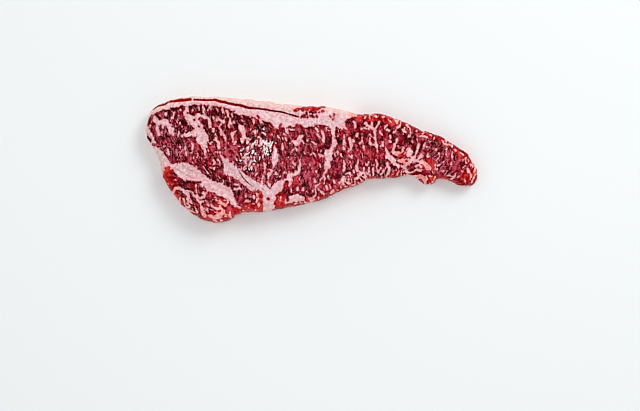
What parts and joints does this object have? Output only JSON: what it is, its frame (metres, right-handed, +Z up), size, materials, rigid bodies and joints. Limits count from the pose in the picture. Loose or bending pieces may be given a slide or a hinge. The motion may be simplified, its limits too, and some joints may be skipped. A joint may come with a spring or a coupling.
{
  "type": "raw beef steak",
  "caption": "Raw marbled beef steak: a long slice that tapers to a tail, with a fat cap along one side, fat seams between its muscles and a flat cut underside.",
  "frame": {"origin": "middle of the steak's bounding box in plan, on the surface that it lies on", "axes": "+X along the length towards the thin tail, +Y across it towards the fat cap, +Z up out of the upper cut face"},
  "size_m": [0.2486, 0.0948, 0.0226],
  "materials": {
    "raw_beef": "moist raw lean with pink-white fat"
  },
  "bodies": {
    "root": {"steak": "raw_beef"}
  },
  "joints": []
}
